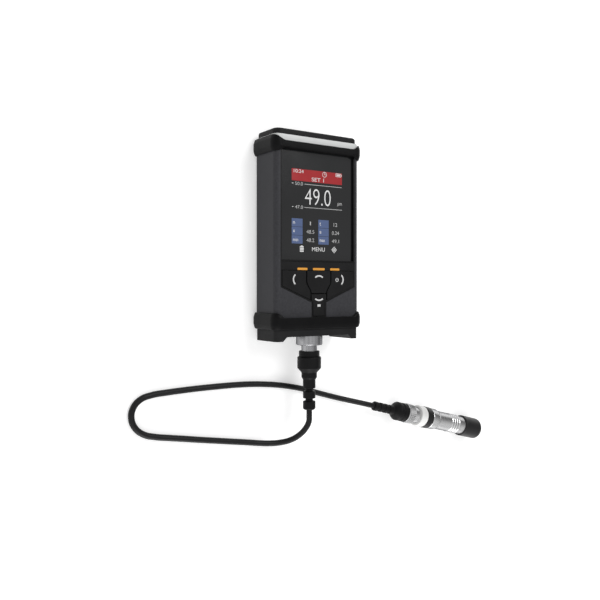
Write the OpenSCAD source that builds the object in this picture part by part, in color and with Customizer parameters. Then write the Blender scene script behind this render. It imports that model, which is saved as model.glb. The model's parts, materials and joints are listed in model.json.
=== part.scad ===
// Coating thickness gauge with a measuring probe on a cord, in millimetres.
// The gauge lies on its back with the display up and its top towards +Y, and the cord and the
// probe lie on the same surface, z = 0. Gauge pieces are drawn standing (x across, y from front
// to back, z along the gauge) and laid down by lay(). Probe pieces are drawn along +z from the
// cord to the tip and laid down by lay_probe().

/* [Housing] */
// Width of the housing across the display
body_w = 78.5; // [76:0.5:82]
// Thickness of the housing from its front rim to its back
body_d = 31; // [29.5:0.5:36]
// Length of the housing between its end seals
body_l = 135; // [132:1:145]
// Radius of the housing's four long edges
edge_r = 4; // [3.8:0.1:5]
// Thickness of the housing's side and back walls
wall = 2.4; // [1.8:0.1:3]
// Thickness of the housing's front wall
front_wall = 5.2; // [5:0.1:6]
// Radius of the screw bosses inside the housing
boss_r = 3.2; // [2.8:0.1:3.6]
// Depth of the screw bosses from the housing's ends
boss_h = 11; // [9:0.5:14]
// Distance of the bottom screws from the gauge's middle plane
low_screw_x = 25; // [22:0.5:26]

/* [Display] */
// Width of the display's lit area
screen_w = 47.5; // [42:0.5:50]
// Height of the display's lit area
screen_h = 64.4; // [58:0.2:68]
// Height of the lit area above the keypad
screen_up = 6.2; // [5:0.2:9]
// Width of the housing's rim beside the display pocket
rim_w = 4.3; // [3.8:0.1:5]
// Depth of the pocket for the window and the keypad
pocket_d = 3.6; // [3.4:0.1:3.9]
// Thickness of the window glass
glass_t = 1.5; // [1:0.1:2]
// Wall of the black frame around the glass
frame_wall = 1; // [0.8:0.1:1.4]
// Depth of that frame below the housing's rim
frame_low = 0.4; // [0.2:0.1:0.8]
// Thickness of the display module behind the window
module_t = 2.6; // [2:0.1:3]
// Edge of the display module around its lit area
module_edge = 3; // [2:0.5:4]

/* [Keypad] */
// Height of the keypad's top edge above the housing's lower end
keypad_rise = 46.7; // [45:0.1:49]
// Straight height of the keypad's sides
keypad_side = 19.5; // [17:0.5:22]
// Height of the slopes that lead in to the keypad's stem
keypad_slope = 11.7; // [10:0.1:13]
// Width of the keypad's stem
stem_w = 14; // [12:0.5:17]
// Height of the fixed strip above the keys
strip_h = 6.6; // [6:0.2:8]
// Distance of the key grooves from the middle, at the top
groove_x = 11.4; // [10:0.2:13]
// Distance of the key grooves from the middle, at the waist
waist_x = 7.4; // [7:0.2:8]
// Width of the gap between neighbouring keys
key_gap = 0.9; // [0.7:0.1:1.2]
// Gap between a key and the keypad's frame
key_clear = 0.3; // [0.25:0.05:0.4]
// Rim of the keypad's frame around the keys
keypad_rim = 1.2; // [1:0.1:1.6]
// Thickness of the rubber mat under the keys
mat_t = 1; // [0.8:0.1:1.2]
// Depth of the keypad's frame below the housing's rim
keypad_low = 0.2; // [0.1:0.1:0.4]
// Height of the keys above the keypad's frame
key_proud = 0.3; // [0.2:0.1:0.6]
// Travel of a key
key_travel = 0.7; // [0.5:0.1:0.9]

/* [Bumpers and ends] */
// How far the rubber bumpers stand out from the housing
bumper_stand = 2.5; // [2:0.1:3.5]
// Height of the bumpers at the gauge's sides
bumper_h = 12.6; // [11.8:0.1:14]
// How far the bumpers' outer face falls back at its edges
bumper_crown = 1.3; // [0.8:0.1:1.6]
// Lap of the top bumper over the housing's front
top_lap = 3.5; // [3:0.1:4.2]
// Height of the top bumper at the front, under the light band
top_front_h = 5.5; // [5:0.1:6.2]
// Extra lap of the top bumper at the housing's sides
top_lip = 2.7; // [2:0.1:3.2]
// Lap of the bottom bumper over the housing's front
low_lap = 4.1; // [3.5:0.1:5]
// Extra lap of the bottom bumper at the housing's sides
low_lip = 3.7; // [3:0.1:4.5]
// Thickness of the rubber seals at the housing's ends
seal_t = 0.8; // [0.5:0.1:1.2]
// Height of the pale light band above its seal
band_h = 6.2; // [5.8:0.1:7]
// Wall of the light band
band_wall = 3; // [2.5:0.1:3]
// Height of the top cap
cap_h = 4.7; // [4:0.1:5.4]
// How far the top cap stands back from the light band
cap_inset = 0.7; // [0.5:0.1:1.5]
// Radius of the top cap's four corners
cap_r = 5.5; // [4.5:0.5:7]
// Radius of the top cap's upper edge
cap_edge = 1.8; // [1.2:0.1:2.2]
// Distance from the housing's sides to where the top bumper's front edge starts to rise
ear_w = 8; // [7:0.5:9]
// Width of the curves that lead to the bumpers' side laps
lip_w = 7; // [6:0.5:8]
// Height of the bottom cap below its seal
foot_h = 13; // [12:0.2:15]
// Depth of the channel across the bottom cap
channel_d = 3.4; // [2.8:0.2:4]
// Width of the flat strip left on each side of that channel
leg_w = 6.6; // [5:0.2:7.6]
// Slope of that channel's sides, as run over rise
channel_slope = 1.05; // [0.6:0.05:1.2]
// Thickness of the bottom cap's plate
plate_t = 2.6; // [2.2:0.1:3.2]

/* [Battery] */
// Width of the battery pack
battery_w = 46; // [40:1:48]
// Length of the battery pack
battery_l = 64; // [56:1:68]
// Thickness of the battery pack
battery_t = 13; // [11:0.5:14]
// Margin of the battery cover around its opening
cover_margin = 6.5; // [6:0.5:7]

/* [Connector] */
// Distance of the connector's axis from the housing's middle, towards the front
socket_out = 2.2; // [0:0.1:2.6]
// Diameter of the socket's outer flange
flange_d = 20.8; // [18:0.2:22]
// Height of that flange below the bottom cap
flange_h = 7.7; // [7:0.1:9]
// Outer diameter of the socket's shell
shell_d = 12.3; // [11:0.1:13]
// Bare length of the shell between flange and plug
shell_gap = 5.1; // [4:0.1:6]
// Wall of the socket's shell
shell_wall = 1.4; // [1:0.1:1.8]
// Depth of the shell inside the plug
plug_depth = 7; // [6:0.1:9]
// Diameter of the plug's front ring
ring_d = 16.3; // [15.6:0.1:17]
// Height of the plug's front ring
ring_h = 4; // [3.5:0.1:5]
// Diameter of the plug's grip
grip_d = 18.8; // [17:0.1:20]
// Height of the plug's grip
grip_h = 9.5; // [8:0.1:11]
// Diameter of the plug's neck
neck_d = 12.3; // [11:0.1:13]
// Length of the neck with its two tapers
neck_h = 8.7; // [8:0.1:10]
// Diameter of the plug's strain relief
relief_d = 9.9; // [9:0.1:10.5]
// Length of the plug's strain relief
relief_l = 23.7; // [21:0.1:26]
// Diameter inside the strain relief's notches
notch_d = 6; // [5.4:0.1:7]
// Width of a notch
notch_w = 2.4; // [2:0.1:3]
// Diameter of the cord
cord_d = 4.6; // [4:0.1:5]

/* [Probe] */
// Direction of the probe on the surface, in degrees from +X
probe_turn = -15; // [-16:1:-14]
// Diameter of the probe's cord boot
boot_d = 8; // [7:0.1:9]
// Length of the cord boot
boot_l = 22; // [20:0.5:24]
// Diameter of the moulded collar behind the coupling ring
collar_d = 16.2; // [15.5:0.1:17]
// Length of that collar
collar_l = 14; // [12:0.5:16]
// Diameter of the coupling ring
coupling_d = 17.5; // [16.8:0.1:18.5]
// Length of the coupling ring
coupling_l = 9; // [8:0.2:11]
// Number of knurls around the coupling ring
knurls = 36; // [24:2:48]
// Depth of the knurls
knurl_depth = 0.45; // [0.3:0.05:0.6]
// Diameter of the metal barrel
barrel_d = 14.5; // [14:0.1:15.5]
// Bare length of the barrel
barrel_l = 6; // [5:0.2:8]
// Length of the white marker ring
marker_l = 7.5; // [6:0.2:9]
// Length of the black grip ring
grip_ring_l = 7; // [6:0.2:9]
// Diameter of the rings and of the probe's nose
nose_d = 19; // [18.5:0.1:20]
// Diameter of the metal shoulder in front of the rings
shoulder_d = 18.4; // [17.8:0.1:18.8]
// Length of the metal shoulder with its taper
shoulder_l = 10; // [9:0.2:12]
// Diameter of the probe's sleeve
sleeve_d = 16.5; // [16:0.1:17.2]
// Bare length of the sleeve
sleeve_l = 33; // [30:0.5:36]
// Number of finger ridges on the sleeve
ridges = 4; // [3:1:5]
// Pitch of the finger ridges
ridge_pitch = 3; // [2.6:0.1:3.4]
// Height of the finger ridges
ridge_h = 0.35; // [0.2:0.05:0.5]
// Length of the nose
nose_l = 22; // [20:0.5:25]
// Radius of the nose's front edge
nose_edge = 3.2; // [2.4:0.1:3.6]
// Outer diameter of the sensor in the nose
sensor_d = 11; // [10:0.1:11.4]
// How far the sensor stands out of the nose
sensor_out = 1.6; // [1.4:0.1:2]
// How far the sensor can be pushed in
plunge = 1.2; // [0.8:0.1:1.3]
// Diameter of the sensor's pole tip
tip_d = 2.4; // [2:0.1:3]

/* [Hidden] */
$fn = 64;

// Gaps between pieces that fit each other
fit = 0.1;
slide_fit = 0.15;
seat_gap = 0.2;
// Overshoot of a cut past the face it opens
over = 1;

// Levels from front to back, with the gauge standing
front_y = -body_d / 2;
back_y = body_d / 2;
rest_y = back_y + bumper_stand;
pocket_y = front_y + pocket_d;
cavity_front_y = front_y + front_wall;
cavity_back_y = back_y - wall;
board_t = 1.6;
board_y = cavity_front_y + module_t + seat_gap;
board_back_y = board_y + board_t;

// Levels along the gauge, with the gauge standing
half_l = body_l / 2;
board_top_z = half_l - boss_h - 1;
board_low_z = -half_l + boss_h + 1;
keypad_top = keypad_rise - half_l;
keypad_turn = keypad_top - keypad_side;
keypad_low_turn = keypad_turn - keypad_slope;
keypad_end = -half_l + low_lap - 0.6;
key_top = keypad_top - strip_h;
key_split = keypad_turn - 5;
pocket_top = half_l - top_lap + 1;
screen_z = keypad_top + screen_up + screen_h / 2;
top_front_z = half_l - top_lap;
top_low_z = top_front_z - top_lip;
low_front_z = -half_l + low_lap;
low_bumper_z = low_front_z + low_lip - bumper_h;
band_z = half_l + seal_t;
band_top_z = band_z + band_h;
cap_top_z = band_top_z + cap_h;
foot_z = -half_l - seal_t;
foot_end_z = foot_z - foot_h;
channel_z = foot_end_z + channel_d;
plate_z = channel_z + plate_t;

// Widths and radii that several pieces share
pocket_w = body_w - 2 * rim_w;
window_w = pocket_w - 2 * fit;
window_h = pocket_top - keypad_top - 2 * fit;
window_z = (pocket_top + keypad_top) / 2;
cavity_w = body_w - 2 * wall;
cavity_d = cavity_back_y - cavity_front_y;
cavity_mid_y = (cavity_front_y + cavity_back_y) / 2;
cavity_r = edge_r - wall;
screw_r = 1.25;
screw_hole_r = screw_r + fit;
head_r = 2.3;
head_h = 1.6;
low_seat_z = channel_z + head_h + fit;
drive_r = 1.2;
drive_depth = 0.9;
boss_sink = 0.4;
screw_ys = [cavity_front_y + boss_r - boss_sink, cavity_back_y - boss_r + boss_sink];
foot_w = body_w - 0.8;
foot_d = body_d - 0.8;
foot_r = edge_r - 0.4;
crown_cut = 0.2;
lip_x = body_w / 2 - 1;
bumper_w = body_w + 2 * bumper_stand;
band_r = edge_r - band_wall;
board_r = band_r - fit;
top_screw_x = screen_w / 2 + module_edge + boss_r + seat_gap;

// Keypad: its outline, drawn in by an inset, and the grooves between its keys
half_keypad = pocket_w / 2;
half_stem = stem_w / 2;
slope_rate = keypad_slope / (half_keypad - half_stem);
slope_inset = sqrt(1 + slope_rate * slope_rate) - slope_rate;
waist_steps = 8;
waist_from = keypad_turn + 4.5;
waist_to = keypad_turn - 4.5;

function ease(t) = (1 - cos(180 * t)) / 2;
function right_half(i) = [
  [half_keypad - i, keypad_top - i],
  [half_keypad - i, keypad_turn + i * slope_inset],
  [half_stem - i, keypad_low_turn + i * slope_inset],
  [half_stem - i, keypad_end + i]
];
function left_half(i) = [for (k = [3:-1:0]) [-right_half(i)[k].x, right_half(i)[k].y]];
function keypad_outline(i) = concat(right_half(i), left_half(i));
function groove(side) = concat(
  [[groove_x + side, key_top + over]],
  [for (k = [0:waist_steps]) let (t = k / waist_steps)
    [groove_x + (waist_x - groove_x) * ease(t) + side, waist_from + (waist_to - waist_from) * t]],
  [[waist_x + side, keypad_end - over]]
);
function reversed(list) = [for (k = [len(list) - 1:-1:0]) list[k]];
function mirrored(list) = [for (p = list) [-p.x, p.y]];

// Battery bay and cover
bay_gap = 1.5;
bay_w = battery_w + 2 * bay_gap;
bay_l = battery_l + 2 * bay_gap;
bay_r = 3;
cover_w = bay_w + 2 * cover_margin;
cover_l = bay_l + 2 * cover_margin;
cover_r = 4;
cover_screw_x = bay_w / 2 + cover_margin / 2;
cover_screw_z = bay_l / 2 + cover_margin / 2;
lip_wall = 1.4;

// Connector levels, downwards from the bottom cap's channel
flange_z = channel_z - flange_h;
ring_z = flange_z - shell_gap;
grip_z = ring_z - ring_h;
shell_end_z = ring_z - plug_depth;
grip_end_z = grip_z - grip_h;
relief_z = grip_end_z - neck_h;
plug_end_z = relief_z - relief_l;
nut_h = 3;
nut_af = 17;
shell_top_z = plate_z + nut_h + 1.5;
insert_r = shell_d / 2 - shell_wall - fit;
pin_r = 0.5;
pin_circle_r = insert_r * 0.62;
pin_count = 6;
pin_out = 4;

// Probe stations, from the cord to the tip
boot_end = boot_l;
coupling_at = boot_end + collar_l;
barrel_at = coupling_at + coupling_l;
marker_at = barrel_at + barrel_l;
grip_ring_at = marker_at + marker_l;
shoulder_at = grip_ring_at + grip_ring_l;
sleeve_at = shoulder_at + shoulder_l;
nose_at = sleeve_at + sleeve_l;
nose_end = nose_at + nose_l;
taper_l = 3;
spigot_d = barrel_d - 1.6;
spigot_l = 11;
spigot_end = nose_at + spigot_l;
sleeve_bore_d = 12.6;
nose_bore_d = sleeve_d - 2.2;
sensor_stop = spigot_end + 2;
sensor_flange_d = sleeve_bore_d - 2 * slide_fit;
sensor_flange_l = 2;
sensor_tail_d = 7;
sensor_tail_l = 7;
spring_wire = 0.8;
spring_turns = 6;
spring_to = sensor_stop - seat_gap - sensor_flange_l;
spring_l = 14;
spring_from = spring_to - spring_l;
core_d = sensor_d - 2.6;
wire_bore_d = 6;
board_bore_d = 10;
web_t = 2;

// Route of the cord: points chosen along its middle line, from the plug to the probe's boot
cord_lift = 2.3;
cord_start = [0, plug_end_z, rest_y + socket_out];
probe_start = [74, -142, nose_d / 2];
probe_dir = [cos(probe_turn), sin(probe_turn), 0];
cord_drop = [
  [0, -146.5, 19.6], [-2, -152, 17.6], [-5.5, -157, 14.4], [-11, -160.8, 10.9], [-18.5, -162.6, 7.6],
  [-27, -162.8, 4.9], [-36, -161.8, 3.1]
];
cord_loop = [
  [-47, -160], [-59, -158], [-72, -155.8], [-85, -153.6], [-98, -151.3], [-110, -149.2],
  [-121, -147.2], [-129.5, -144.5], [-135.8, -139.3], [-138.6, -132.2], [-137.2, -125],
  [-132, -119.6], [-124, -117.2], [-112, -116.2], [-99, -115.6], [-86, -115.2], [-72, -115],
  [-58, -115], [-44, -115.4], [-31, -116.4], [-18, -118], [-6, -120.2], [6, -123],
  [17.5, -126.4], [27.5, -129.4]
];
cord_rise = [[37.5, -132.3, 2.6], [47.5, -135, 4.2], [57, -137.5, 7.4]];
cord_lead = 5;
boot_lead = 8;
cord_route = concat(
  [cord_start, cord_start - [0, cord_lead, 0]],
  cord_drop,
  [for (p = cord_loop) [p.x, p.y, cord_lift]],
  cord_rise,
  [probe_start - boot_lead * probe_dir, probe_start]
);
cord_sides = 10;

// The gauge's pieces, laid on their back
module lay() {
  translate([0, 0, rest_y]) rotate([-90, 0, 0]) children();
}

// The connector's pieces, laid with the gauge round the connector's axis
module lay_socket() {
  lay() translate([0, -socket_out, 0]) children();
}

// The probe's pieces, laid along the surface
module lay_probe() {
  translate(probe_start) rotate([0, 90, probe_turn]) children();
}

// Rectangle with round corners
module rounded(w, d, r) {
  square([w - 2 * r, d], center = true);
  square([w, d - 2 * r], center = true);
  for (sx = [-1, 1], sy = [-1, 1]) {
    translate([sx * (w / 2 - r), sy * (d / 2 - r)]) circle(r);
  }
}

// An outline in x and y, raised along the gauge from z0 to z1
module tower(z0, z1) {
  translate([0, 0, z0]) linear_extrude(z1 - z0) children();
}

// An outline in x and z, given its thickness from y0 to y1
module slab(y0, y1) {
  translate([0, y1, 0]) rotate([90, 0, 0]) linear_extrude(y1 - y0) children();
}

// A round bar along the gauge from z0 to z1
module bar(r, z0, z1) {
  translate([0, 0, z0]) cylinder(r = r, h = z1 - z0);
}

// A round bar from front to back, from y0 to y1
module peg(r, y0, y1) {
  translate([0, y1, 0]) rotate([90, 0, 0]) cylinder(r = r, h = y1 - y0);
}

// A turned piece: its half section as points of radius and height
module turned(points) {
  rotate_extrude() polygon(points);
}

// A profile of distance and height, swept round the housing's outline
module around_housing() {
  for (a = [0, 180]) {
    rotate([0, 0, a]) translate([body_w / 2, 0, 0]) rotate([90, 0, 0])
      linear_extrude(body_d - 2 * edge_r, center = true) children();
    rotate([0, 0, a + 90]) translate([body_d / 2, 0, 0]) rotate([90, 0, 0])
      linear_extrude(body_w - 2 * edge_r, center = true) children();
  }
  for (k = [0:3]) {
    translate([(k == 0 || k == 3 ? 1 : -1) * (body_w / 2 - edge_r),
               (k < 2 ? 1 : -1) * (body_d / 2 - edge_r), 0])
      rotate([0, 0, 90 * k]) rotate_extrude(angle = 90) translate([edge_r, 0]) children();
  }
}

// A level edge that turns up to both sides in an even curve, filled upwards
module dip(flat_x, side_x, z_flat, z_side) {
  steps = 8;
  rise = [for (k = [0:steps]) let (t = k / steps)
    [flat_x + (side_x - flat_x) * t, z_flat + (z_side - z_flat) * ease(t)]];
  top = [side_x, z_side + over];
  polygon(concat(rise, [top], mirrored([top]), reversed(mirrored(rise))));
}

// A screw that points along +z, with its head below z = 0
module screw(length) {
  difference() {
    translate([0, 0, -head_h]) cylinder(r = head_r, h = head_h);
    translate([0, 0, -head_h - over]) cylinder(r = drive_r, h = drive_depth + over, $fn = 6);
  }
  cylinder(r = screw_r, h = length);
}

// The places of the four screws at an end of the housing, x from the middle plane
module at_end_screws(x) {
  for (sx = [-1, 1], y = screw_ys) translate([sx * x, y, 0]) children();
}

// The places of the battery cover's four screws, pointing from the back to the front
module at_cover_screws() {
  for (sx = [-1, 1], sz = [-1, 1]) {
    translate([sx * cover_screw_x, rest_y - head_h - fit, sz * cover_screw_z])
      rotate([90, 0, 0]) children();
  }
}

// The places of the board's posts
post_r = 2.6;
post_x = cavity_w / 2 - post_r - 1;
post_in = 4;
post_zs = [board_top_z - post_in, keypad_top + 1, board_low_z + post_in];
module at_posts() {
  for (sx = [-1, 1], z = post_zs) translate([sx * post_x, 0, z]) children();
}

// Bosses at both ends of the housing that take the end screws
module end_bosses() {
  for (end = [-1, 1]) {
    z0 = end > 0 ? half_l - boss_h : -half_l;
    at_end_screws(end > 0 ? top_screw_x : low_screw_x) difference() {
      bar(boss_r, z0, z0 + boss_h);
      bar(screw_hole_r, z0 - over, z0 + boss_h + over);
    }
  }
}

module board_posts() {
  at_posts() difference() {
    peg(post_r, cavity_front_y - boss_sink, board_y);
    peg(screw_r, cavity_front_y, board_y + over);
  }
}

module housing() color("dimgray") lay() {
  difference() {
    tower(-half_l, half_l) rounded(body_w, body_d, edge_r);
    tower(-half_l - over, half_l + over)
      translate([0, cavity_mid_y]) rounded(cavity_w, cavity_d, cavity_r);
    slab(front_y - over, pocket_y) translate([0, window_z])
      square([pocket_w, pocket_top - keypad_top], center = true);
    slab(front_y - over, pocket_y) polygon(keypad_outline(0));
    slab(pocket_y - over, cavity_front_y + over) {
      translate([0, screen_z]) square([screen_w + 2, screen_h + 2], center = true);
      polygon(keypad_outline(keypad_rim + 1.2));
    }
    slab(cavity_back_y - over, back_y + over) rounded(bay_w, bay_l, bay_r);
    at_cover_screws() cylinder(r = screw_hole_r, h = bumper_stand + wall + over);
  }
  end_bosses();
  board_posts();
}

// Section of a bumper: its inner face at the housing and a crowned outer face
module bumper_section() {
  fall = bumper_crown + crown_cut;
  crown_r = (bumper_h * bumper_h / 4 + fall * fall) / (2 * fall);
  intersection() {
    translate([fit, 0]) square([bumper_stand - fit, bumper_h]);
    translate([bumper_stand + crown_cut - crown_r, bumper_h / 2]) circle(crown_r);
  }
}

module top_bumper() color("#262626") lay() {
  difference() {
    translate([0, 0, top_low_z]) around_housing() bumper_section();
    slab(-rest_y - over, rest_y + over) {
      dip(body_w / 2 - ear_w, bumper_w / 2, top_front_z + top_front_h, top_low_z + bumper_h);
      mirror([0, 1]) dip(lip_x - lip_w, lip_x, -top_front_z, -top_low_z);
    }
  }
}

module bottom_bumper() color("#262626") lay() {
  difference() {
    translate([0, 0, low_bumper_z]) around_housing() bumper_section();
    slab(-rest_y - over, rest_y + over)
      dip(lip_x - lip_w, lip_x, low_front_z, low_front_z + low_lip);
  }
}

module light_band() color("whitesmoke") lay() {
  ledge_h = 1.2;
  difference() {
    tower(band_z, band_top_z) rounded(body_w, body_d, edge_r);
    tower(band_z + ledge_h, band_top_z + over)
      rounded(body_w - 2 * band_wall, body_d - 2 * band_wall, band_r);
    tower(band_z - over, band_z + ledge_h + over)
      rounded(body_w - 4 * band_wall, body_d - 4 * band_wall, 1);
    at_end_screws(top_screw_x) bar(screw_hole_r, band_z - over, band_top_z);
  }
}

light_board_z = band_z + 1.2;
light_board_t = 1.2;
emitter_z = light_board_z + light_board_t;
module light_board() color("darkgreen") lay() {
  difference() {
    tower(light_board_z, emitter_z)
      rounded(body_w - 2 * band_wall - 2 * fit, body_d - 2 * band_wall - 2 * fit, board_r);
    tower(light_board_z - over, emitter_z + over)
      rounded(body_w - 8 * band_wall, body_d - 6 * band_wall, 1);
    at_end_screws(top_screw_x) bar(screw_hole_r, light_board_z - over, emitter_z + over);
  }
}

emitters = 5;
emitter_size = [2.8, 1.6, 1];
module light_emitters() color("lightyellow") lay() {
  pitch = 2 * (top_screw_x - boss_r - emitter_size.x) / (emitters - 1);
  y = body_d / 2 - band_wall - fit - emitter_size.y;
  for (k = [0:emitters - 1], sy = [-1, 1]) {
    translate([(k - (emitters - 1) / 2) * pitch, sy * y, emitter_z + emitter_size.z / 2])
      cube(emitter_size, center = true);
  }
}

module top_cap() color("#303030") lay() {
  w = body_w - 2 * cap_inset;
  d = body_d - 2 * cap_inset;
  r = cap_r;
  edge = cap_edge;
  skirt_wall = 1.5;
  cap_post_r = boss_r - 0.4;
  skirt_w = body_w - 2 * band_wall - 2 * fit;
  skirt_d = body_d - 2 * band_wall - 2 * fit;
  skirt_z = emitter_z + emitter_size.z + seat_gap;
  seat_z = cap_top_z - head_h - fit;
  difference() {
    union() {
      tower(band_top_z, cap_top_z - edge) rounded(w, d, r);
      for (k = [0:3]) {
        translate([(k == 0 || k == 3 ? 1 : -1) * (w / 2 - r), (k < 2 ? 1 : -1) * (d / 2 - r),
                   cap_top_z - edge])
          rotate([0, 0, 90 * k]) rotate_extrude(angle = 90) cap_corner(r, edge);
      }
      cap_sides(w - 2 * r, d - 2 * r, r, edge);
      tower(skirt_z, band_top_z + boss_sink) difference() {
        rounded(skirt_w, skirt_d, board_r);
        rounded(skirt_w - 2 * skirt_wall, skirt_d - 2 * skirt_wall, board_r / 2);
      }
      tower(skirt_z, band_top_z + boss_sink) intersection() {
        rounded(skirt_w, skirt_d, board_r);
        at_end_screws(top_screw_x) circle(cap_post_r);
      }
    }
    at_end_screws(top_screw_x) {
      bar(screw_hole_r, skirt_z - over, cap_top_z + over);
      bar(head_r + fit, seat_z, cap_top_z + over);
    }
  }
}

// Upper edge of the top cap: the corner's section and the four straight runs
module cap_corner(r, edge) {
  square([r - edge, edge]);
  intersection() {
    square([r, edge]);
    translate([r - edge, 0]) circle(edge);
  }
}

module cap_sides(run_x, run_y, r, edge) {
  for (a = [0, 180]) translate([0, 0, cap_top_z - edge]) {
    rotate([0, 0, a]) translate([run_x / 2, 0, 0]) rotate([90, 0, 0])
      linear_extrude(run_y, center = true) cap_corner(r, edge);
    rotate([0, 0, a + 90]) translate([run_y / 2, 0, 0]) rotate([90, 0, 0])
      linear_extrude(run_x, center = true) cap_corner(r, edge);
  }
  tower(cap_top_z - edge, cap_top_z) square([run_x, run_y], center = true);
}

module bottom_cap() color("#303030") lay() {
  hollow_w = foot_w - 2 * wall;
  hollow_d = foot_d - 2 * wall;
  half_channel = foot_w / 2 - leg_w;
  channel_run = channel_d * channel_slope;
  difference() {
    tower(foot_end_z, foot_z) rounded(foot_w, foot_d, foot_r);
    tower(plate_z, foot_z + over) difference() {
      rounded(hollow_w, hollow_d, foot_r - wall);
      at_end_screws(low_screw_x) circle(boss_r);
    }
    slab(-body_d, body_d) polygon([
      [-half_channel, foot_end_z - 0.01], [half_channel, foot_end_z - 0.01],
      [half_channel - channel_run, channel_z], [-half_channel + channel_run, channel_z]
    ]);
    translate([0, -socket_out, 0]) bar(shell_d / 2 + fit, foot_end_z, plate_z + over);
    at_end_screws(low_screw_x) {
      bar(screw_hole_r, foot_end_z, foot_z + over);
      bar(head_r + fit, foot_end_z, low_seat_z);
    }
  }
}

// Flat seal between the housing and an end piece
module seal_ring() {
  difference() {
    rounded(body_w - 1, body_d - 1, edge_r - 0.5);
    translate([0, cavity_mid_y]) rounded(cavity_w - 2 * boss_sink, cavity_d - 2 * boss_sink, 1);
  }
}

module top_seal() color("black") lay() tower(half_l, band_z) seal_ring();

module bottom_seal() color("black") lay() tower(foot_z, -half_l) seal_ring();

module top_screws() color("silver") lay() {
  seat_z = cap_top_z - head_h - fit;
  at_end_screws(top_screw_x) translate([0, 0, seat_z]) mirror([0, 0, 1])
    screw(seat_z - half_l + boss_h - 1);
}

module bottom_screws() color("silver") lay() {
  at_end_screws(low_screw_x) translate([0, 0, low_seat_z])
    screw(-half_l + boss_h - 1 - low_seat_z);
}

module window_frame() color("black") lay() {
  slab(front_y + frame_low, pocket_y) translate([0, window_z]) difference() {
    square([window_w, window_h], center = true);
    square([window_w - 2 * frame_wall, window_h - 2 * frame_wall], center = true);
  }
}

module window_glass() color([0.15, 0.15, 0.16, 0.6]) lay() {
  slab(pocket_y - glass_t, pocket_y) translate([0, window_z])
    square([window_w - 2 * frame_wall - 2 * fit, window_h - 2 * frame_wall - 2 * fit], center = true);
}

module display_module() color("#202428") lay() {
  slab(cavity_front_y, cavity_front_y + module_t) translate([0, screen_z])
    square([screen_w + 2 * module_edge, screen_h + 2 * module_edge], center = true);
}

module main_board() color("darkgreen") lay() {
  difference() {
    slab(board_y, board_back_y) translate([0, (board_top_z + board_low_z) / 2])
      square([cavity_w - 1, board_top_z - board_low_z], center = true);
    at_posts() peg(screw_hole_r, board_y - over, board_back_y + over);
  }
}

module board_screws() color("silver") lay() {
  at_posts() translate([0, board_back_y, 0]) rotate([90, 0, 0]) screw(board_t + module_t - seat_gap);
}

module keypad_frame() color("#242424") lay() {
  slab(front_y + keypad_low, pocket_y - mat_t) difference() {
    polygon(keypad_outline(fit));
    intersection() {
      polygon(keypad_outline(keypad_rim));
      translate([0, key_top - body_l]) square([2 * body_w, 2 * body_l], center = true);
    }
  }
}

// Places of the switches under the keys, as x and z
switch_at = [
  [-(groove_x + half_keypad) / 2, (key_top + keypad_turn) / 2],
  [0, (key_top + key_split) / 2],
  [(groove_x + half_keypad) / 2, (key_top + keypad_turn) / 2],
  [0, (key_split + keypad_end) / 2]
];
switch_size = 6;
switch_h = 2.3;
nub_r = 1.5;
module keypad_mat() color("dimgray") lay() {
  slab(pocket_y - mat_t, pocket_y) polygon(keypad_outline(fit));
  for (p = switch_at) {
    translate([p.x, 0, p.y]) peg(nub_r, pocket_y - mat_t / 2, board_y - switch_h - seat_gap);
  }
}

module key_switches() color("gray") lay() {
  for (p = switch_at) {
    translate([0, 0, p.y]) slab(board_y - switch_h, board_y)
      translate([p.x, 0]) square([switch_size, switch_size], center = true);
  }
}

// A key: its part of the keypad between the grooves, raised above the frame
module key_piece() {
  key_front_y = front_y + keypad_low - key_proud;
  key_back_y = pocket_y - mat_t - key_travel - seat_gap / 2;
  color("#1c1c1c") lay() slab(key_front_y, key_back_y) intersection() {
    polygon(keypad_outline(keypad_rim + key_clear));
    children();
  }
}

// The part of the keypad on the right of the right groove
module side_part() {
  edge = groove(key_gap / 2);
  polygon(concat(
    [for (p = edge) [p.x, min(p.y, key_top - key_clear)]],
    [[body_w, keypad_end - over], [body_w, key_top - key_clear]]
  ));
}

// The part of the keypad between the grooves, from z0 to z1
module middle_part(z0, z1) {
  edge = groove(-key_gap / 2);
  intersection() {
    polygon(concat(edge, reversed(mirrored(edge))));
    translate([-body_w, z0]) square([2 * body_w, z1 - z0]);
  }
}

module key_left() key_piece() mirror([1, 0]) side_part();

module key_right() key_piece() side_part();

module key_up() key_piece() middle_part(key_split + key_gap / 2, key_top - key_clear);

module key_down() key_piece() middle_part(keypad_end, key_split - key_gap / 2);

module battery_pack() color("steelblue") lay() {
  slab(back_y - seat_gap - battery_t, back_y - seat_gap) rounded(battery_w, battery_l, 2);
}

module battery_cover() color("#2a2a2a") lay() {
  difference() {
    union() {
      slab(back_y, rest_y) rounded(cover_w, cover_l, cover_r);
      slab(cavity_back_y, back_y + boss_sink) difference() {
        rounded(bay_w - 2 * fit, bay_l - 2 * fit, bay_r - fit);
        rounded(bay_w - 2 * fit - 2 * lip_wall, bay_l - 2 * fit - 2 * lip_wall, bay_r - lip_wall);
      }
    }
    at_cover_screws() {
      translate([0, 0, -head_h - over]) cylinder(r = head_r + fit, h = head_h + over);
      cylinder(r = screw_hole_r, h = bumper_stand + wall);
    }
  }
}

module cover_screws() color("silver") lay() {
  at_cover_screws() screw(bumper_stand + wall - head_h - seat_gap);
}

// The sounder and the vibration motor, side by side on the back of the board
alarm_drop = 9;
alarm_z = board_top_z - alarm_drop;
sounder_r = 6;
sounder_h = 4;
motor_r = 5;
motor_h = 3;
module sounder() color("#1a1a1a") lay() {
  translate([-cavity_w / 4, 0, alarm_z]) peg(sounder_r, board_back_y, board_back_y + sounder_h);
}

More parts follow.
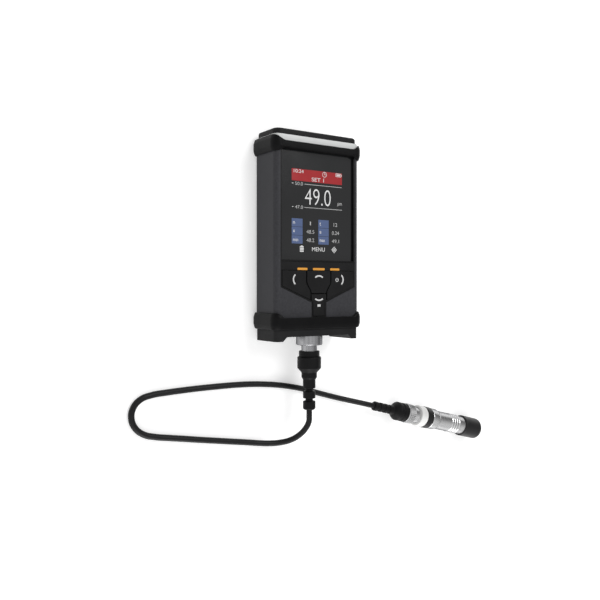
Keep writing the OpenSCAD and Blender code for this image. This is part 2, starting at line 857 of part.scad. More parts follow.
module vibration_motor() color("silver") lay() {
  translate([cavity_w / 4, 0, alarm_z]) peg(motor_r, board_back_y, board_back_y + motor_h);
}

module socket_flange() color("silver") lay_socket() {
  turned([
    [shell_d / 2 + fit, flange_z], [flange_d / 2 - 0.6, flange_z], [flange_d / 2, flange_z + 0.6],
    [flange_d / 2, channel_z], [shell_d / 2 + fit, channel_z]
  ]);
}

keyway_w = 2;
keyway_turn = -28;
module socket_shell() color("silver") lay_socket() {
  difference() {
    bar(shell_d / 2, shell_end_z, shell_top_z);
    bar(shell_d / 2 - shell_wall, shell_end_z - over, shell_top_z + over);
    rotate([0, 0, keyway_turn]) translate([shell_d / 2 - shell_wall / 2, -keyway_w / 2, shell_end_z - over])
      cube([shell_d, keyway_w, flange_z - shell_end_z + over - 0.5]);
  }
}

module socket_nut() color("goldenrod") lay_socket() {
  difference() {
    translate([0, 0, plate_z]) cylinder(d = nut_af / cos(30), h = nut_h, $fn = 6);
    bar(shell_d / 2 + fit, plate_z - over, plate_z + nut_h + over);
  }
}

insert_low_z = ring_z + pin_out + seat_gap;
module socket_insert() color("#1a1a1a") lay_socket() {
  difference() {
    bar(insert_r, insert_low_z, shell_top_z);
    at_pins() bar(pin_r + fit, insert_low_z - over, shell_top_z + over);
  }
}

// The places of the contact pins
module at_pins() {
  for (k = [0:pin_count - 1]) {
    rotate([0, 0, 360 * k / pin_count]) translate([pin_circle_r, 0, 0]) children();
  }
}

module socket_pins() color("gold") lay_socket() {
  at_pins() bar(pin_r, ring_z + seat_gap, shell_top_z + 2);
}

module plug_ring() color("#1c1c1c") lay_socket() {
  turned([
    [shell_d / 2 + fit, grip_z], [ring_d / 2, grip_z], [ring_d / 2, ring_z + 0.5],
    [ring_d / 2 - 0.5, ring_z], [shell_d / 2 + fit, ring_z]
  ]);
}

module plug_insert() color("#303030") lay_socket() {
  difference() {
    bar(insert_r, shell_end_z, insert_low_z - seat_gap);
    at_pins() bar(pin_r + fit, ring_z, insert_low_z);
  }
}

// Notches along a strain relief, as half-section points from z0 down to z1
function notched(r, z0, z1, count) = let (pitch = (z0 - z1) / (count + 1)) concat(
  [[r, z0]],
  [for (k = [1:count]) let (z = z0 - pitch * k + notch_w / 2)
    each [[r, z], [notch_d / 2, z - 0.3], [notch_d / 2, z - notch_w + 0.3], [r, z - notch_w]]],
  [[r, z1 + 1], [r - 1, z1]]
);

plug_notches = 2;
module plug_grip() color("#1c1c1c") lay_socket() {
  cup_r = shell_d / 2 + fit;
  cup_z = shell_end_z - seat_gap;
  turned(concat(
    [[0, cup_z], [cup_r, cup_z], [cup_r, grip_z], [grip_d / 2 - 0.6, grip_z], [grip_d / 2, grip_z - 0.6],
     [grip_d / 2, grip_end_z + 0.4], [neck_d / 2, grip_end_z - neck_h * 0.36],
     [neck_d / 2, grip_end_z - neck_h * 0.77]],
    notched(relief_d / 2, relief_z, plug_end_z, plug_notches),
    [[0, plug_end_z]]
  ));
}

// Tube swept along points: rings of a round section, turned with the path
function unit(v) = v / norm(v);
function path_dir(p, k) = unit(p[min(k + 1, len(p) - 1)] - p[max(k - 1, 0)]);
function side_dir(t) = abs(t.z) > 0.9 ? unit(cross(t, [1, 0, 0])) : unit(cross([0, 0, 1], t));
function ring_at(p, k, r, n) = let (t = path_dir(p, k), u = side_dir(t), w = cross(t, u))
  [for (j = [0:n - 1]) p[k] + r * (cos(360 * j / n) * u + sin(360 * j / n) * w)];

module tube(p, r, n) {
  last = len(p) - 1;
  points = [for (k = [0:last]) each ring_at(p, k, r, n)];
  sides = [for (k = [0:last - 1], j = [0:n - 1]) let (i = (j + 1) % n)
    [k * n + j, (k + 1) * n + j, (k + 1) * n + i, k * n + i]];
  polyhedron(points, concat([[for (j = [0:n - 1]) j]], sides,
                            [[for (j = [n - 1:-1:0]) last * n + j]]));
}

module probe_cord() color("#202020") tube(cord_route, cord_d / 2, cord_sides);

boot_notches = 3;
module probe_boot() color("#1c1c1c") lay_probe() {
  groove_at = boot_end + collar_l * 0.55;
  turned(concat(
    [[0, 0]],
    reversed([for (p = notched(boot_d / 2, 0, -boot_l, boot_notches)) [p.x, p.y + boot_l]]),
    [[collar_d / 2 - 2.4, boot_end + 1.4], [collar_d / 2, boot_end + 4.6],
     [collar_d / 2, groove_at], [collar_d / 2 - 0.8, groove_at + 0.6],
     [collar_d / 2 - 0.8, groove_at + 1.8], [collar_d / 2, groove_at + 2.4],
     [collar_d / 2, coupling_at - 0.5], [collar_d / 2 - 0.5, coupling_at], [0, coupling_at]]
  ));
}

// Outline of a knurled ring
function knurl_outline(r, depth, n) = [for (k = [0:2 * n - 1]) let (a = 180 * k / n)
  (r - (k % 2) * depth) * [cos(a), sin(a)]];

module coupling_ring() color("silver") lay_probe() {
  end_gap = slide_fit;
  rim_l = 1;
  z0 = coupling_at + end_gap;
  z1 = barrel_at - end_gap;
  difference() {
    union() {
      bar(coupling_d / 2 - knurl_depth, z0, z1);
      translate([0, 0, z0 + rim_l]) linear_extrude(z1 - z0 - 2 * rim_l)
        polygon(knurl_outline(coupling_d / 2, knurl_depth, knurls));
    }
    bar(spigot_d / 2 + slide_fit, z0 - over, z1 + over);
  }
}

module probe_barrel() color("silver") lay_probe() {
  difference() {
    union() {
      bar(spigot_d / 2, coupling_at, barrel_at + fit);
      bar(barrel_d / 2, barrel_at, marker_at);
    }
    bar(wire_bore_d / 2, coupling_at - over, marker_at + over);
  }
}

// A ring on the sleeve's rear spigot, with small chamfers
module collar_ring(r, z0, z1) {
  bevel = 0.5;
  bore_r = spigot_d / 2 + fit;
  turned([
    [bore_r, z0], [r - bevel, z0], [r, z0 + bevel], [r, z1 - bevel], [r - bevel, z1], [bore_r, z1]
  ]);
}

module marker_ring() color("white") lay_probe() collar_ring(nose_d / 2 - 0.25, marker_at, grip_ring_at);

module grip_ring() color("#1c1c1c") lay_probe() collar_ring(nose_d / 2, grip_ring_at, shoulder_at);

// Distance of the last finger ridge from the nose
ridge_end = 8;
module probe_sleeve() color("silver") lay_probe() {
  ridge_from = nose_at - ridge_end - ridge_pitch * (ridges - 1);
  difference() {
    union() {
      turned([
        [0, marker_at], [spigot_d / 2, marker_at], [spigot_d / 2, shoulder_at],
        [shoulder_d / 2 - 0.4, shoulder_at], [shoulder_d / 2, shoulder_at + 0.4],
        [shoulder_d / 2, sleeve_at - taper_l], [sleeve_d / 2, sleeve_at], [sleeve_d / 2, nose_at],
        [nose_bore_d / 2, nose_at], [nose_bore_d / 2, spigot_end], [0, spigot_end]
      ]);
      for (k = [0:ridges - 1]) {
        translate([0, 0, ridge_from + k * ridge_pitch]) turned([
          [sleeve_d / 2 - 0.2, -ridge_pitch * 0.3], [sleeve_d / 2 + ridge_h, -ridge_pitch * 0.1],
          [sleeve_d / 2 + ridge_h, ridge_pitch * 0.1], [sleeve_d / 2 - 0.2, ridge_pitch * 0.3]
        ]);
      }
    }
    bar(board_bore_d / 2, marker_at - over, spring_from - web_t);
    bar(wire_bore_d / 2, marker_at, spigot_end);
    bar(sleeve_bore_d / 2, spring_from, spigot_end + over);
  }
}

module probe_nose() color("#1c1c1c") lay_probe() {
  r = nose_d / 2;
  front_z = nose_end - nose_edge;
  bore_r = nose_bore_d / 2 + fit;
  hole_r = sensor_d / 2 + slide_fit;
  stop_r = sensor_flange_d / 2 + slide_fit;
  rotate_extrude() {
    difference() {
      union() {
        polygon([
          [0, nose_at], [r - 0.6, nose_at], [r, nose_at + 0.6], [r, front_z], [r - nose_edge, nose_end],
          [0, nose_end]
        ]);
        translate([r - nose_edge, front_z]) intersection() {
          circle(nose_edge);
          square([nose_edge, nose_edge]);
        }
      }
      translate([-over, nose_at - over]) square([bore_r + over, spigot_l + seat_gap + over]);
      translate([-over, nose_at]) square([stop_r + over, sensor_stop - nose_at]);
      translate([-over, nose_at]) square([hole_r + over, nose_l + over]);
      translate([hole_r - over, nose_end - 0.6]) square([over + 1.2, 0.6 + over]);
    }
  }
}

probe_board_t = 1.2;
module probe_board() color("darkgreen") lay_probe() {
  r = board_bore_d / 2 - fit;
  board_l = spring_from - web_t - shoulder_at - 4;
  intersection() {
    translate([-r, -probe_board_t / 2, shoulder_at + 2]) cube([2 * r, probe_board_t, board_l]);
    bar(r, shoulder_at, spring_from);
  }
}

module sensor_ring() color("gainsboro") lay_probe() {
  rear = sensor_stop - seat_gap;
  tip_z = nose_end + sensor_out;
  tail_z = rear - sensor_flange_l - sensor_tail_l;
  turned([
    [core_d / 2 + fit, rear], [sensor_tail_d / 2 - 1.2, rear], [sensor_tail_d / 2 - 1.2, tail_z],
    [sensor_tail_d / 2, tail_z], [sensor_tail_d / 2, rear - sensor_flange_l],
    [sensor_flange_d / 2, rear - sensor_flange_l], [sensor_flange_d / 2, rear], [sensor_d / 2, rear],
    [sensor_d / 2, tip_z - 0.4], [sensor_d / 2 - 0.4, tip_z], [core_d / 2 + fit, tip_z]
  ]);
}

// Depth of the pole tip's root in the sensor's core
tip_root = 6;
module sensor_core() color("#141414") lay_probe() {
  rear = sensor_stop - seat_gap;
  difference() {
    bar(core_d / 2, rear, nose_end + sensor_out - 0.4);
    bar(tip_d / 2 + fit, nose_end - tip_root, nose_end + sensor_out + over);
  }
}

module probe_tip() color("gainsboro") lay_probe() {
  z1 = nose_end + sensor_out;
  bar(tip_d / 2, nose_end - tip_root, z1 - tip_d / 4);
  translate([0, 0, z1 - tip_d / 4]) intersection() {
    sphere(tip_d / 2);
    bar(tip_d, 0, tip_d);
  }
}

// Coil spring behind the sensor, with its wire along a helix
module plunger_spring() color("gray") lay_probe() {
  mean_r = sensor_tail_d / 2 + spring_wire / 2 + slide_fit;
  z0 = spring_from + spring_wire / 2 + fit;
  z1 = spring_to - spring_wire / 2 - fit;
  steps = 12 * spring_turns;
  tube([for (k = [0:steps]) let (t = k / steps, a = 360 * spring_turns * t)
    [mean_r * cos(a), mean_r * sin(a), z0 + (z1 - z0) * t]], spring_wire / 2, 8);
}

housing();
top_bumper();
bottom_bumper();
light_band();
top_cap();
bottom_cap();
top_seal();
bottom_seal();
top_screws();
bottom_screws();
window_frame();
window_glass();
display_module();
main_board();
board_screws();
keypad_frame();
keypad_mat();
key_left();
key_up();
key_right();
key_down();
key_switches();
battery_pack();
battery_cover();
cover_screws();
light_board();
light_emitters();
sounder();
vibration_motor();
socket_flange();
socket_shell();
socket_nut();
socket_insert();
socket_pins();
plug_ring();
plug_grip();
plug_insert();
probe_cord();
probe_boot();
coupling_ring();
probe_barrel();
marker_ring();
grip_ring();
probe_sleeve();
probe_nose();
probe_board();
sensor_ring();
sensor_core();
probe_tip();
plunger_spring();
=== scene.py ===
# %% [markdown]
# # A coating thickness gauge, dressed in Blender
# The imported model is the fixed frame: every solid already has its place and its size, in metres.
# This lesson gives each surface its finish, rounds the moulded edges that the light catches, draws
# the picture on the display and the signs on the keys, and sets up a soft studio.

# %% Load the frame
import json
import math

import bpy
from mathutils import Matrix, Vector


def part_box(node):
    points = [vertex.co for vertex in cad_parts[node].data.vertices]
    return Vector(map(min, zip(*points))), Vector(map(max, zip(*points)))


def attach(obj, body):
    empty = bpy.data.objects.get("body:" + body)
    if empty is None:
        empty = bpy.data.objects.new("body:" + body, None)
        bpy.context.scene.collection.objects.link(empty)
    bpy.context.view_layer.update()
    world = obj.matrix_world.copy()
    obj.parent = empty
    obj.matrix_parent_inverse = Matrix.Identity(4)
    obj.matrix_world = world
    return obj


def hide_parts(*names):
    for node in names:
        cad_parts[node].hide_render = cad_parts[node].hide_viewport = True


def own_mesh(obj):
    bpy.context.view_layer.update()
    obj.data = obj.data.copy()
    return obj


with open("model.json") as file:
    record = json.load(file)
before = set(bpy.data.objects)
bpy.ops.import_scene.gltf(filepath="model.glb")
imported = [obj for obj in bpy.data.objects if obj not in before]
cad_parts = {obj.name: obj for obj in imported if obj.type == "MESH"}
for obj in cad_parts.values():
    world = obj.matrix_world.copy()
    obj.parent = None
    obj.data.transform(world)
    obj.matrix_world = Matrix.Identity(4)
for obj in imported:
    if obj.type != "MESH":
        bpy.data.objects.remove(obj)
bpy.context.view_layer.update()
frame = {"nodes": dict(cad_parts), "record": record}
nodes = frame["nodes"]
MM = 0.001

# %% [markdown]
# ## The camera
# The gauge lies on its back, so the camera looks down on it, from the side where the photograph
# shows the gauge's left wall. A camera's own axes are its matrix columns: right, up, and backwards.
# Writing the three directions down is clearer here than three Euler angles. The lens is written as
# a focal length in pixels of a 600 pixel picture, and turned into millimetres of a 36 mm sensor.

# %% Camera
PICTURE_PX = 600
SENSOR_MM = 36
FOCAL_PX = 700
AXIS_ROW_PX = 288
CAMERA_MM = Vector((-312.1, -40.9, 475.1))
VIEW_TURN = math.radians(33.7)
CLIP_START = 0.01

bpy.ops.object.select_all(action="DESELECT")
bpy.ops.object.camera_add()
camera = bpy.context.object
camera.name = "photo_camera"
right = Vector((math.cos(VIEW_TURN), 0, math.sin(VIEW_TURN)))
up = Vector((0, 1, 0))
back = right.cross(up)
turn = Matrix((right, up, back)).transposed().to_4x4()
camera.matrix_world = Matrix.Translation(CAMERA_MM * MM) @ turn
camera.data.sensor_width = SENSOR_MM
camera.data.lens = FOCAL_PX * SENSOR_MM / PICTURE_PX
camera.data.shift_y = (AXIS_ROW_PX - PICTURE_PX / 2) / PICTURE_PX
camera.data.clip_start = CLIP_START
bpy.context.scene.camera = camera
print("camera lens", round(camera.data.lens, 1), "mm")

# %% [markdown]
# ## The cord
# The cord is a round rubber cable. It leaves the plug straight, drops to the table, runs out to the
# left, turns back under the strain relief and climbs into the probe's boot. A Bezier curve through
# the route's points with automatic handles is smooth, and its bevel gives it a round section. Once
# the line is right, the curve is converted to a mesh tube with closed ends.

# %% Cord route
CORD_MM = 4.6
LIFT = CORD_MM / 2
BOOT_RUN = 8
PROBE_TURN = math.radians(-15)
plug_end = (0, -136.6, 20.2)
boot_end = (74, -142, 9.5)
probe_dir = Vector((math.cos(PROBE_TURN), math.sin(PROBE_TURN), 0))
drop = [(0, -141.6, 20.2), (0, -146.5, 19.6), (-2, -152, 17.6), (-5.5, -157, 14.4),
        (-11, -160.8, 10.9), (-18.5, -162.6, 7.6), (-27, -162.8, 4.9), (-36, -161.8, 3.1)]
loop = [(-47, -160), (-59, -158), (-72, -155.8), (-85, -153.6), (-98, -151.3), (-110, -149.2),
        (-121, -147.2), (-129.5, -144.5), (-135.8, -139.3), (-138.6, -132.2), (-137.2, -125),
        (-132, -119.6), (-124, -117.2), (-112, -116.2), (-99, -115.6), (-86, -115.2), (-72, -115),
        (-58, -115), (-44, -115.4), (-31, -116.4), (-18, -118), (-6, -120.2), (6, -123),
        (17.5, -126.4), (27.5, -129.4)]
rise = [(37.5, -132.3, 2.6), (47.5, -135, 4.2), (57, -137.5, 7.4)]
on_table = [(x, y, LIFT) for x, y in loop]
route = [Vector(point) * MM for point in [plug_end, *drop, *on_table, *rise]]
route += [Vector(boot_end) * MM - probe_dir * BOOT_RUN * MM, Vector(boot_end) * MM]


# %% Cord curve
def put_in_scene(name, data):
    """Link a new object of this data, and make it the only selected and the active one."""
    piece = bpy.data.objects.new(name, data)
    bpy.context.collection.objects.link(piece)
    bpy.ops.object.select_all(action="DESELECT")
    piece.select_set(True)
    bpy.context.view_layer.objects.active = piece
    return piece


cord_line = bpy.data.curves.new("cord", "CURVE")
cord_line.dimensions = "3D"
cord_line.bevel_depth = CORD_MM * MM / 2
cord_line.bevel_resolution = 6
cord_line.resolution_u = 8
cord_line.use_fill_caps = True
spline = cord_line.splines.new("BEZIER")
spline.bezier_points.add(len(route) - 1)
for knot, place in zip(spline.bezier_points, route):
    knot.co = place
    knot.handle_left_type = knot.handle_right_type = "AUTO"
put_in_scene("cord", cord_line)
bpy.ops.object.convert(target="MESH")
cord = bpy.context.object
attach(cord, "gauge")
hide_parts("probe_cord")
print(cord.name, "faces:", len(cord.data.polygons))


# %% [markdown]
# ## Shader node groups
# Most of the gauge is moulded plastic or rubber: one colour that drifts a little in tone, over a fine
# grain that breaks up the gloss. The probe is turned steel: its marks run round the axis it was
# turned on. Each effect is a node group, built once and placed in each material with its own
# values. A group only puts out colours, roughness and height, and the shader stays outside.

# %% Group helpers
def new_group(name, inputs, outputs):
    group = bpy.data.node_groups.new(name, "ShaderNodeTree")
    for label, kind, value in inputs:
        socket = group.interface.new_socket(name=label, in_out="INPUT", socket_type=kind)
        if value is not None:
            socket.default_value = value
    for label, kind in outputs:
        group.interface.new_socket(name=label, in_out="OUTPUT", socket_type=kind)
    start = group.nodes.new("NodeGroupInput")
    end = group.nodes.new("NodeGroupOutput")
    return group, start, end


def add_node(tree, kind, **values):
    node = tree.nodes.new(kind)
    for label, value in values.items():
        setattr(node, label, value)
    return node


def link_or_set(tree, value, socket):
    """Set a plain number on a socket, or link another node's output to it."""
    if isinstance(value, (int, float)):
        socket.default_value = value
    else:
        tree.links.new(value, socket)


def noise_of(tree, vector, scale, detail):
    noise = add_node(tree, "ShaderNodeTexNoise")
    noise.inputs["Detail"].default_value = detail
    tree.links.new(vector, noise.inputs["Vector"])
    tree.links.new(scale, noise.inputs["Scale"])
    return noise.outputs["Fac"]


def spread_of(tree, value, value_low, value_high, low, high):
    spread = add_node(tree, "ShaderNodeMapRange")
    ends = {"Value": value, "From Min": value_low, "From Max": value_high, "To Min": low, "To Max": high}
    for label, given in ends.items():
        link_or_set(tree, given, spread.inputs[label])
    return spread.outputs["Result"]


def math_of(tree, operation, first, second):
    step = add_node(tree, "ShaderNodeMath", operation=operation)
    for socket, value in zip(step.inputs, (first, second)):
        link_or_set(tree, value, socket)
    return step.outputs["Value"]


# %% [markdown]
# The two groups end in the same way. A noise drifts the colour, as an overlay of the noise on it, and
# sets the roughness between a low and a high value. A second noise, or the same one, is the height.

# %% Group results
NOISE_LOW = 0.3
NOISE_HIGH = 0.7
TONE_DETAIL = 3
GRAIN_DETAIL = 2
GREY = (0.5, 0.5, 0.5, 1)
FINISH = [("Colour", "NodeSocketColor", GREY), ("Drift", "NodeSocketFloat", 0.2),
          ("Grain scale", "NodeSocketFloat", 2500), ("Rough low", "NodeSocketFloat", 0.4),
          ("Rough high", "NodeSocketFloat", 0.6)]
RESULT = [("Colour", "NodeSocketColor"), ("Roughness", "NodeSocketFloat"),
          ("Height", "NodeSocketFloat")]


def put_out(group, start, end, tone, height):
    given = start.outputs
    shade = add_node(group, "ShaderNodeMix", data_type="RGBA", blend_type="OVERLAY")
    group.links.new(given["Drift"], shade.inputs["Factor"])
    group.links.new(given["Colour"], shade.inputs["A"])
    group.links.new(tone, shade.inputs["B"])
    rough = spread_of(group, tone, NOISE_LOW, NOISE_HIGH, given["Rough low"], given["Rough high"])
    group.links.new(shade.outputs["Result"], end.inputs["Colour"])
    group.links.new(rough, end.inputs["Roughness"])
    group.links.new(height, end.inputs["Height"])
    print("group", group.name, "with", len(group.nodes), "nodes")


# %% Moulded grain
TONE_SCALE = ("Tone scale", "NodeSocketFloat", 60)
moulded, start, end = new_group("moulded_grain", [*FINISH, TONE_SCALE], RESULT)
place = add_node(moulded, "ShaderNodeTexCoord").outputs["Object"]
tone = noise_of(moulded, place, start.outputs["Tone scale"], TONE_DETAIL)
grain = noise_of(moulded, place, start.outputs["Grain scale"], GRAIN_DETAIL)
put_out(moulded, start, end, tone, grain)

# %% Turned marks
AXIS_VECTOR = ("Axis vector", "NodeSocketVector", None)
turned, start, end = new_group("turned_marks", [AXIS_VECTOR, *FINISH], RESULT)
split = add_node(turned, "ShaderNodeSeparateXYZ")
turned.links.new(start.outputs["Axis vector"], split.inputs["Vector"])
along = add_node(turned, "ShaderNodeCombineXYZ")
turned.links.new(split.outputs["X"], along.inputs["X"])
marks = noise_of(turned, along.outputs["Vector"], start.outputs["Grain scale"], GRAIN_DETAIL)
put_out(turned, start, end, marks, marks)


# %% [markdown]
# ## Materials
# Each finish is one material: the group feeds Base Color, Roughness and a Bump node, and what is the
# same all over the surface, such as Metallic or the specular level, is set on the shader itself.

# %% Material helpers
BUMP_MM = 0.1
EDGE_TINT = (0.12, 0.12, 0.125, 1)


def new_material(name):
    material = bpy.data.materials.new(name)
    material.use_nodes = True
    shader = material.node_tree.nodes["Principled BSDF"]
    return material, material.node_tree, shader


def feed(tree, shader, group, colour, drift, grain, rough, bump):
    finish = add_node(tree, "ShaderNodeGroup", node_tree=group)
    finish.inputs["Colour"].default_value = (*colour, 1)
    finish.inputs["Drift"].default_value = drift
    finish.inputs["Grain scale"].default_value = grain
    finish.inputs["Rough low"].default_value, finish.inputs["Rough high"].default_value = rough
    lift = add_node(tree, "ShaderNodeBump")
    lift.inputs["Strength"].default_value = bump
    lift.inputs["Distance"].default_value = BUMP_MM * MM
    tree.links.new(finish.outputs["Height"], lift.inputs["Height"])
    tree.links.new(finish.outputs["Colour"], shader.inputs["Base Color"])
    tree.links.new(finish.outputs["Roughness"], shader.inputs["Roughness"])
    tree.links.new(lift.outputs["Normal"], shader.inputs["Normal"])
    return finish


def moulded_finish(name, colour, drift=0.25, tone=70, grain=2500, rough=(0.42, 0.6), bump=0.25,
                   gloss=0.5):
    material, tree, shader = new_material(name)
    shader.inputs["Specular IOR Level"].default_value = gloss
    finish = feed(tree, shader, moulded, colour, drift, grain, rough, bump)
    finish.inputs["Tone scale"].default_value = tone
    return material


def turned_finish(name, colour, turn, drift=0.1, grain=1600, rough=(0.26, 0.36), bump=0.03):
    material, tree, shader = new_material(name)
    shader.inputs["Metallic"].default_value = 1
    shader.inputs["Specular Tint"].default_value = EDGE_TINT
    finish = feed(tree, shader, turned, colour, drift, grain, rough, bump)
    coords = add_node(tree, "ShaderNodeTexCoord")
    swing = add_node(tree, "ShaderNodeMapping")
    swing.inputs["Rotation"].default_value = (0, 0, turn)
    tree.links.new(coords.outputs["Object"], swing.inputs["Vector"])
    tree.links.new(swing.outputs["Vector"], finish.inputs["Axis vector"])
    return material


# %% [markdown]
# The gauge is nearly black all over, and its pieces differ in tone by a few steps only. Seen at a low
# angle over a white floor, most of that tone is gloss, so each dark plastic or rubber has its own low
# specular level beside its colour, and rubber is rougher than the window or the frame round it.

# %% Plastics and rubbers
PLASTICS = {
    "housing_plastic": dict(colour=(0.035, 0.035, 0.039), drift=0.4, tone=700, grain=1500,
                            rough=(0.45, 0.6), bump=0.5, gloss=0.15),
    "bumper_rubber": dict(colour=(0.0046, 0.0046, 0.0049), rough=(0.34, 0.46), bump=0.3, gloss=0.08),
    "cap_plastic": dict(colour=(0.0155, 0.0155, 0.016), rough=(0.4, 0.54), gloss=0.08),
    "seal_rubber": dict(colour=(0.008, 0.008, 0.008), rough=(0.6, 0.75), gloss=0.2),
    "band_diffuser": dict(colour=(0.63, 0.64, 0.635), drift=0.06, rough=(0.3, 0.4), bump=0.05),
    "frame_black": dict(colour=(0.004, 0.004, 0.0045), rough=(0.3, 0.4), bump=0.05, gloss=0.2),
    "window_black": dict(colour=(0.0098, 0.0102, 0.011), drift=0.08, tone=30, rough=(0.1, 0.16),
                         bump=0.01),
    "display_black": dict(colour=(0.015, 0.016, 0.02), rough=(0.15, 0.25)),
    "keypad_satin": dict(colour=(0.008, 0.008, 0.0085), rough=(0.38, 0.5), gloss=0.15),
    "key_satin": dict(colour=(0.007, 0.007, 0.0074), rough=(0.36, 0.48), gloss=0.16),
    "mat_rubber": dict(colour=(0.012, 0.012, 0.012), rough=(0.6, 0.7), gloss=0.2),
    "switch_black": dict(colour=(0.02, 0.02, 0.02)),
    "battery_wrap": dict(colour=(0.05, 0.11, 0.26), rough=(0.3, 0.4)),
    "cover_plastic": dict(colour=(0.0335, 0.0335, 0.0375), rough=(0.48, 0.62), gloss=0.15),
    "emitter_resin": dict(colour=(0.75, 0.7, 0.45), rough=(0.15, 0.25)),
    "insert_black": dict(colour=(0.012, 0.012, 0.012), gloss=0.3),
    "plug_rubber": dict(colour=(0.0052, 0.0052, 0.0056), rough=(0.4, 0.54), bump=0.3, gloss=0.12),
    "cord_rubber": dict(colour=(0.007, 0.007, 0.0075), rough=(0.4, 0.52), gloss=0.2),
    "marker_white": dict(colour=(0.72, 0.72, 0.71), drift=0.06, rough=(0.32, 0.42), bump=0.08),
    "probe_black": dict(colour=(0.009, 0.009, 0.0095), rough=(0.34, 0.46), gloss=0.3),
    "core_black": dict(colour=(0.006, 0.006, 0.006), rough=(0.25, 0.35), gloss=0.3),
    "board_green": dict(colour=(0.02, 0.13, 0.05), drift=0.35, tone=300, rough=(0.3, 0.45)),
}
finishes = {name: moulded_finish(name, **values) for name, values in PLASTICS.items()}
print("plastics and rubbers:", len(finishes))

# %% [markdown]
# The probe's metal pieces were turned on the probe's axis, and the connector on an axis along the
# gauge. The marks change along the pattern's x axis, so each material turns the pattern by the angle
# that brings that axis onto its own piece's axis. The small screws and pins share the connector's.

# %% Metals
ALONG_PROBE = -PROBE_TURN
ALONG_GAUGE = math.pi / 2
METALS = {
    "probe_steel": dict(colour=(0.72, 0.72, 0.725), turn=ALONG_PROBE, drift=0.08, grain=900,
                        rough=(0.22, 0.32), bump=0.008),
    "sensor_steel": dict(colour=(0.72, 0.72, 0.73), turn=ALONG_PROBE, rough=(0.12, 0.2)),
    "socket_nickel": dict(colour=(0.36, 0.36, 0.37), turn=ALONG_GAUGE, rough=(0.22, 0.32)),
    "screw_steel": dict(colour=(0.5, 0.5, 0.51), turn=ALONG_GAUGE, rough=(0.28, 0.4)),
    "nut_brass": dict(colour=(0.68, 0.52, 0.24), turn=ALONG_GAUGE),
    "pin_gold": dict(colour=(0.83, 0.62, 0.25), turn=ALONG_GAUGE),
}
finishes |= {name: turned_finish(name, **values) for name, values in METALS.items()}
print("finishes with the metals:", len(finishes))

# %% Materials onto the CAD nodes
WEARS = {
    "housing_plastic": ["housing"],
    "bumper_rubber": ["top_bumper", "bottom_bumper"],
    "cap_plastic": ["top_cap", "bottom_cap"],
    "seal_rubber": ["top_seal", "bottom_seal"],
    "band_diffuser": ["light_band"],
    "frame_black": ["window_frame"],
    "window_black": ["window_glass"],
    "display_black": ["display_module"],
    "keypad_satin": ["keypad_frame"],
    "key_satin": ["key_left", "key_up", "key_right", "key_down"],
    "mat_rubber": ["keypad_mat"],
    "switch_black": ["key_switches", "sounder"],
    "battery_wrap": ["battery_pack"],
    "cover_plastic": ["battery_cover"],
    "emitter_resin": ["light_emitters"],
    "insert_black": ["socket_insert", "plug_insert"],
    "plug_rubber": ["plug_ring", "plug_grip", "probe_boot"],
    "marker_white": ["marker_ring"],
    "probe_black": ["grip_ring", "probe_nose"],
    "core_black": ["sensor_core"],
    "board_green": ["main_board", "light_board", "probe_board"],
    "probe_steel": ["coupling_ring", "probe_barrel", "probe_sleeve", "plunger_spring"],
    "sensor_steel": ["sensor_ring", "probe_tip"],
    "socket_nickel": ["socket_flange", "socket_shell", "vibration_motor"],
    "screw_steel": ["top_screws", "bottom_screws", "board_screws", "cover_screws"],
    "nut_brass": ["socket_nut"],
    "pin_gold": ["socket_pins"],
    "cord_rubber": ["probe_cord"],
}
for finish_name, names in WEARS.items():
    for name in names:
        nodes[name].data.materials.clear()
        nodes[name].data.materials.append(finishes[finish_name])
cord.data.materials.append(finishes["cord_rubber"])
print("finished nodes:", sum(len(names) for names in WEARS.values()), "of", len(nodes))

# %% [markdown]
# ## Edges that the light catches
# A moulded or turned edge is never a knife edge: its small radius shows as a thin line of light. The
# mesh of a CAD node stays as it is, so each piece here is a copy of its node. The copy's loose
# triangles are merged, triangles in one plane become one face, and a Bevel modifier rounds each edge
# that turns by more than a set angle. A Weighted Normal modifier then keeps the large faces flat in
# the light, so that only the rounded edge shades from one to the other.

# %% Rounded copies
MERGE_M = 2e-6
FLAT_DEG = 0.5
SHARP_DEG = 35
SMOOTH_DEG = 40
bodies = frame["record"]["behaviour"]["bodies"]
body_of = {node: body for body, names in bodies.items() for node in names}


def merged_copy(name, ending):
    piece = put_in_scene(name + ending, nodes[name].data.copy())
    piece.data.name = piece.name
    bpy.ops.mesh.customdata_custom_splitnormals_clear()
    bpy.ops.object.mode_set(mode="EDIT")
    bpy.ops.mesh.select_all(action="SELECT")
    bpy.ops.mesh.remove_doubles(threshold=MERGE_M)
    bpy.ops.mesh.dissolve_limited(angle_limit=math.radians(FLAT_DEG))
    bpy.ops.object.mode_set(mode="OBJECT")
    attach(piece, body_of[name])
    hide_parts(name)
    return piece


def rounded_copy(name, radius):
    piece = merged_copy(name, "_edged")
    edge = piece.modifiers.new("edge radius", "BEVEL")
    edge.width = radius * MM
    edge.segments = 2
    edge.limit_method = "ANGLE"
    edge.angle_limit = math.radians(SHARP_DEG)
    edge.use_clamp_overlap = False
    bpy.ops.object.modifier_apply(modifier=edge.name)
    bpy.ops.object.shade_smooth_by_angle(angle=math.radians(SMOOTH_DEG))
    even = piece.modifiers.new("even faces", "WEIGHTED_NORMAL")
    even.weight = 100
    even.keep_sharp = True
    bpy.ops.object.modifier_apply(modifier=even.name)
    return piece


